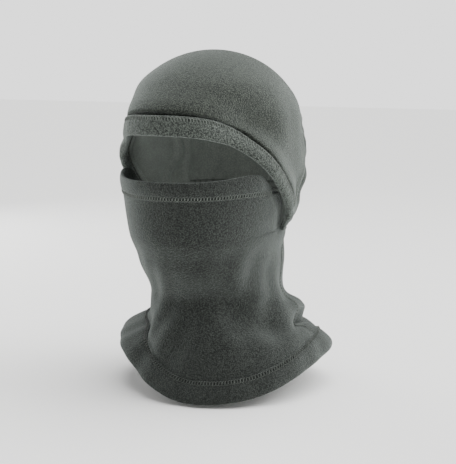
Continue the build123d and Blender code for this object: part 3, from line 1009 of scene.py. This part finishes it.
class BALACLAVA_OT_nose_hem(bpy.types.Operator):
    """Make the folded hem over the nose and its cover stitches"""
    bl_idname = "balaclava.nose_hem"
    bl_label = "Nose hem"

    def execute(self, context):
        count = 320
        height = size("nose_hem")
        middle_climb = NOSE_HEM_TOP - height / 2 - RIM
        ends = band_end_turn(np.array([middle_climb]))[0]
        turn = np.linspace(-ends, ends, count)
        across, out = folded_section(height, 4.2, 44, 0.6)
        near_end = ramp(np.abs(turn), ends - 15.0, ends - 4.0)[:, None]
        corner = (1.0 - np.sqrt(1.0 - ramp(np.abs(turn), ends - 13.0, ends) ** 2 * 0.999))[:, None]
        sag = -NOSE_SAG * np.cos(np.radians(turn))[:, None]
        reach = across[None, :] * (1.0 - 0.12 * near_end)
        rise = hill(np.abs(turn), 64.0, 22.0)[:, None] * (1.2 + 3.4 * ramp(reach, -8.0, 9.0))
        climb = middle_climb + reach + sag + rise - 12.0 * corner * ramp(reach, -8.0, 9.0)
        row = -height / 2 + 3.2
        groove = 0.9 * hill(reach, row, 1.7)
        swell = 0.5 * hill(reach, 3.0, 5.0)
        stand = out[None, :] * (1.0 - 0.35 * near_end)
        stand = np.where(out[None, :] > 0, stand - groove + swell, stand)
        slanted = turn[:, None] / ends * band_end_turn(middle_climb + reach)
        way = turn[:, None] + (slanted - turn[:, None]) * ramp(np.abs(turn), 45.0, 75.0)[:, None]
        rings = laid(way, climb, MASK_OUTER - 0.9, stand - 3.2 * near_end)
        hem = tube("nose_hem_fabric", rings, "brushed_fleece_mask_painted_shade")
        finish_piece(hem, ["nose_hem"], bend=MASK_BEND)
        line_turn = np.linspace(-ends + 5.0, ends - 5.0, 260)
        line_climb = middle_climb + row - NOSE_SAG * np.cos(np.radians(line_turn))
        line_climb = line_climb + 1.25 * hill(np.abs(line_turn), 64.0, 22.0)
        sew("nose_hem_stitches", ["nose_hem_stitching"], line_turn, line_climb, MASK_OUTER - 0.9,
            1.25, bend=MASK_BEND)
        return {"FINISHED"}


class BALACLAVA_OT_back(bpy.types.Operator):
    """Make the back fabric of the neck and the stitches of its side seams, and give the care label
    its material
    """
    bl_idname = "balaclava.back"
    bl_label = "Back fabric"

    def execute(self, context):
        rows, columns = 110, 190
        share = np.linspace(-1.0, 1.0, columns)
        top = NAPE_CLIMB + 1.0
        part = np.linspace(0.0, 1.0, rows)[:, None]
        guess = above_hem(np.array([100.0]), 0.0)
        edge = side_seam_turn(guess + part[:, 0] * (top - guess))
        turn = 180.0 + share[None, :] * (180.0 - edge[:, None])
        turn = np.where(turn > 180.0, turn - 360.0, turn)
        low = above_hem(turn, -0.5)
        climb = low + part * (top - low)
        grid = laid(turn, climb, NECK_OUTER)
        back = cloth("back_fabric", grid, "brushed_fleece_neck_painted_shade")
        finish_piece(back, ["back_panel"], body="neck_gaiter")
        for side, name in SIDES:
            low = above_hem(np.array([side * 100.0]), 1.0)[0]
            climb = np.linspace(low, top - 3.0, 150)
            sew(f"side_seam_{name}_stitches", [f"side_seam_{name}"],
                side * side_seam_turn(climb), climb, NECK_OUTER, 0.1,
                width=3.4, pitch=3.2, ladder=False, body="neck_gaiter")
        # The care label is the CAD's own plain rectangle, sewn inside the nape.
        label = bpy.data.objects["care_label"]
        label.data.materials.clear()
        label.data.materials.append(material_named("satin_label"))
        return {"FINISHED"}


class BALACLAVA_OT_bottom_hem(bpy.types.Operator):
    """Make the doubled bottom hem and its cover stitches"""
    bl_idname = "balaclava.bottom_hem"
    bl_label = "Bottom hem"

    def execute(self, context):
        height = size("bottom_hem")
        turn = np.arange(480) * 0.75 - 180.0
        across, out = folded_section(height, 4.9, 44, 0.62)
        row = height / 2 - 2.6
        groove = 0.9 * hill(across, row, 1.8)
        stand = np.where(out > 0, out - groove, out)[None, :]
        climb = hem_edge(turn)[:, None] + height / 2 - RIM + across[None, :]
        wave = 0.8 * ripple(turn, climb[:, 0], 21, 60.0)[:, None]
        gather = 0.18 * np.sin(turn * 2.6 + 2.0 * np.sin(turn * 0.31))
        gather = gather[:, None] * hill(across, row, 5.0)
        rings = laid(turn[:, None], climb, HEM_MIDDLE, stand + wave + gather)
        hem = tube("bottom_hem_fabric", rings, "brushed_fleece_hem_painted_shade", along=True)
        finish_piece(hem, ["bottom_hem"], body="neck_gaiter")
        line_climb = hem_edge(turn) + height / 2 - RIM + row
        sew("bottom_hem_stitches", ["bottom_hem_stitching"], turn, line_climb, HEM_MIDDLE,
            1.75 + wave[:, 0], body="neck_gaiter", material="polyester_thread_painted_shade")
        return {"FINISHED"}


PIECES = (
    BALACLAVA_OT_hood, BALACLAVA_OT_band, BALACLAVA_OT_back_trim, BALACLAVA_OT_front,
    BALACLAVA_OT_nose_hem, BALACLAVA_OT_back, BALACLAVA_OT_bottom_hem, BALACLAVA_OT_stage,
)


class BALACLAVA_PT_panel(bpy.types.Panel):
    """The balaclava's sizes, colours and pieces"""
    bl_idname = "BALACLAVA_PT_panel"
    bl_label = "Balaclava"
    bl_space_type = "VIEW_3D"
    bl_region_type = "UI"
    bl_category = "Balaclava"

    def draw(self, context):
        for group in (context.scene.balaclava_sizes, context.scene.balaclava_colours):
            for name in group.__annotations__:
                self.layout.prop(group, name)
        for piece in PIECES:
            self.layout.operator(piece.bl_idname)


def register():
    for group in (BalaclavaSizes, BalaclavaColours, *PIECES, BALACLAVA_PT_panel):
        bpy.utils.register_class(group)
    bpy.types.Scene.balaclava_sizes = PointerProperty(type=BalaclavaSizes)
    bpy.types.Scene.balaclava_colours = PointerProperty(type=BalaclavaColours)


def unregister():
    del bpy.types.Scene.balaclava_colours
    del bpy.types.Scene.balaclava_sizes
    for group in (BALACLAVA_PT_panel, *reversed(PIECES), BalaclavaColours, BalaclavaSizes):
        bpy.utils.unregister_class(group)


def main():
    """Make every piece."""
    register()
    for piece in PIECES:
        family, name = piece.bl_idname.split(".")
        getattr(getattr(bpy.ops, family), name)()


if __name__ == "__main__":
    main()
